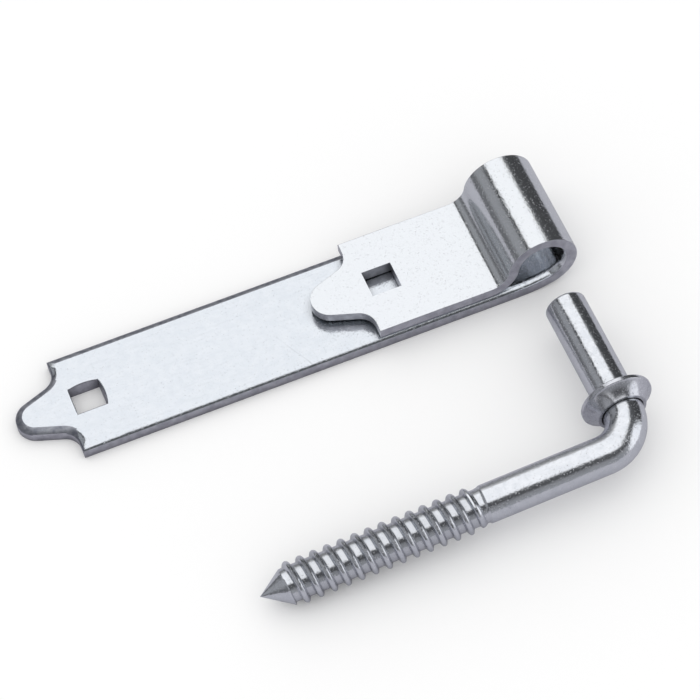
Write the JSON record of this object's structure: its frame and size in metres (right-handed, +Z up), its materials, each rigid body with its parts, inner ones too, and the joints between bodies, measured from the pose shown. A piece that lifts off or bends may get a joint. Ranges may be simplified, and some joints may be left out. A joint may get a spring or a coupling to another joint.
{
  "type": "screw hook and strap gate hinge",
  "caption": "Heavy gate hinge: a bar strap folded round an eye, and a screw hook whose pin drops into the eye and carries it on a collar.",
  "frame": {"origin": "underside of the strap, midway between its bolt holes on the centre line", "axes": "+X along the strap towards the eye, +Y along the pin towards its free end, +Z up from the strap's underside"},
  "size_m": [0.1743, 0.1103, 0.0235],
  "materials": {
    "strap_zinc": "bright zinc plate on rolled bar, satin",
    "collar_zinc": "bright zinc plate, turned",
    "hook_zinc": "bright zinc plate on drawn rod, glossy with a fine grain"
  },
  "bodies": {
    "strap": {"strap": "strap_zinc"},
    "collar": {"collar": "collar_zinc"},
    "screw_hook": {"screw_hook": "hook_zinc"}
  },
  "joints": [
    {"name": "drop_on", "type": "slide", "parent": "strap", "child": "collar", "axis": [0, 1, 0], "range_m": [0, 0.0521]},
    {"name": "swing", "type": "hinge", "parent": "collar", "child": "screw_hook", "pos_m": [0.09295, -0.0699, 0.01231], "axis": [0, 1, 0], "continuous": true}
  ]
}
